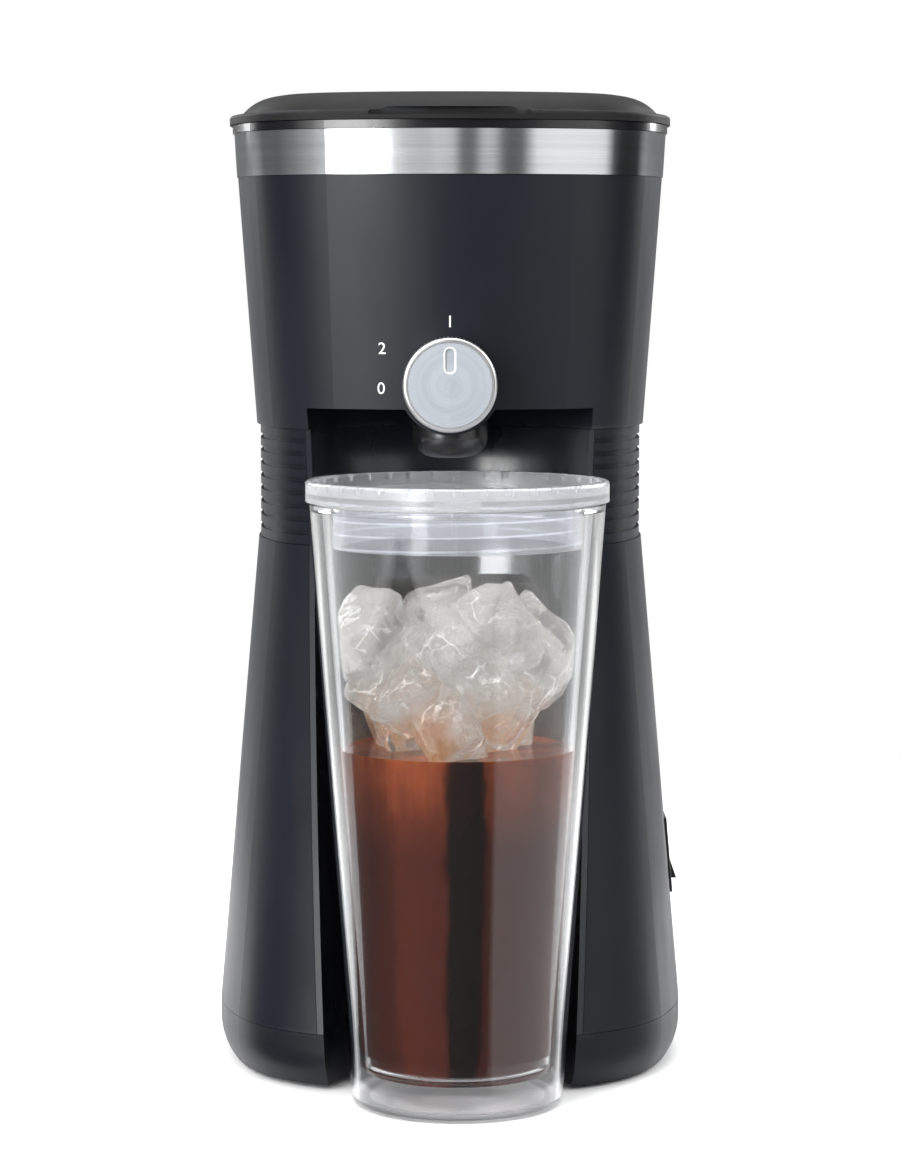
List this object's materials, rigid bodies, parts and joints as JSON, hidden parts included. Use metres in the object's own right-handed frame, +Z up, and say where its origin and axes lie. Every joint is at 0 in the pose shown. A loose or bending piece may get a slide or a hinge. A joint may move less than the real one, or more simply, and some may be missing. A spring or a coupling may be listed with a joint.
{
  "type": "iced coffee maker",
  "caption": "Countertop iced coffee maker with a hinged lid over tank and filter, a flow knob, a rocker switch, and a clear double-wall tumbler with a screw lid in its front bay.",
  "frame": {"origin": "on the counter, under the middle of the footprint of the machine with its tumbler in the bay", "axes": "+Z up, -Y towards the knob and the bay, +X towards the side with the switch"},
  "size_m": [0.1468, 0.207, 0.3028],
  "materials": {
    "body_plastic": "satin charcoal",
    "dark_plastic": "matte dark grey",
    "liner_plastic": "gloss black",
    "inner_plastic": "matte dark grey",
    "steel": "brushed",
    "bright_steel": "bright",
    "fixings": "plain",
    "silver": "satin silver",
    "cast_aluminium": "as cast",
    "soft_black": "matte",
    "silicone": "milky",
    "switch_plastic": "gloss black",
    "terminal_brass": "plain",
    "wire_cover": "plain",
    "clear_plastic": "clear",
    "frosted_plastic": "frosted clear"
  },
  "bodies": {
    "machine": {"base_trim": "dark_plastic", "bottom_cover": "dark_plastic", "feet": "soft_black", "base_screws": "fixings", "lower_shell": "body_plastic", "rib_collar": "body_plastic", "bay_liner": "liner_plastic", "upper_housing": "body_plastic", "housing_screws": "fixings", "metal_band": "steel", "top_deck": "liner_plastic", "hinge_pins": "fixings", "water_tank": "inner_plastic", "tank_strainer": "bright_steel", "brew_chamber": "inner_plastic", "outlet_nozzle": "inner_plastic", "valve_body": "inner_plastic", "valve_cap": "inner_plastic", "drain_ring": "silicone", "shaft_ring": "silicone", "drip_nozzle": "liner_plastic", "check_valve": "inner_plastic", "check_valve_cap": "inner_plastic", "supply_hose": "silicone", "heater_hose": "silicone", "riser_hose": "silicone", "hose_clamps": "fixings", "heater_casting": "cast_aluminium", "water_tube": "bright_steel", "heating_element": "bright_steel", "heater_bracket": "fixings", "thermostat": "cast_aluminium", "thermal_fuse": "silver", "fuse_clip": "fixings", "switch_frame": "switch_plastic", "switch_terminals": "terminal_brass", "wiring": "wire_cover", "cord_gland": "soft_black"},
    "lid": {"lid_shell": "dark_plastic", "lid_liner": "inner_plastic", "shower_plate": "inner_plastic", "lid_gasket": "silicone"},
    "knob": {"knob": "silver", "knob_face": "silver", "valve_plug": "inner_plastic"},
    "rocker": {"rocker": "switch_plastic"},
    "filter": {"filter_frame": "inner_plastic", "filter_mesh": "bright_steel"},
    "check_ball": {"check_ball": "soft_black"},
    "tumbler": {"tumbler_outer": "clear_plastic", "tumbler_inner": "clear_plastic"},
    "tumbler_ring": {"tumbler_ring": "silicone"},
    "tumbler_lid": {"tumbler_lid": "frosted_plastic"}
  },
  "joints": [
    {"name": "lid_hinge", "type": "hinge", "parent": "machine", "child": "lid", "pos_m": [0, 0.1, 0.2941], "axis": [-1, 0, 0], "range_deg": [0, 100]},
    {"name": "knob_turn", "type": "hinge", "parent": "machine", "child": "knob", "pos_m": [0, -0.0313, 0.2155], "axis": [0, -1, 0], "range_deg": [0, 93]},
    {"name": "rocker_tip", "type": "hinge", "parent": "machine", "child": "rocker", "pos_m": [0.06655, 0.0217, 0.06224], "axis": [0, 1, 0], "range_deg": [0, 14]},
    {"name": "filter_lift", "type": "slide", "parent": "machine", "child": "filter", "axis": [0, 0, 1], "range_m": [0, 0.002]},
    {"name": "ball_lift", "type": "slide", "parent": "machine", "child": "check_ball", "axis": [0, 0, 1], "range_m": [0, 0.0015]},
    {"name": "tumbler_slide", "type": "slide", "parent": "machine", "child": "tumbler", "axis": [0, -1, 0], "range_m": [0, 0.12]},
    {"name": "ring_rise", "type": "slide", "parent": "tumbler", "child": "tumbler_ring", "axis": [0, 0, 1], "range_m": [0, 0.0031]},
    {"name": "tumbler_lid_turn", "type": "hinge", "parent": "tumbler_ring", "child": "tumbler_lid", "pos_m": [0.0022, -0.0583, 0.184], "axis": [0, 0, 1], "range_deg": [0, 270]}
  ],
  "couplings": [
    {"joint": "ring_rise", "follows": "tumbler_lid_turn", "m_per_rad": 0.00063662}
  ]
}
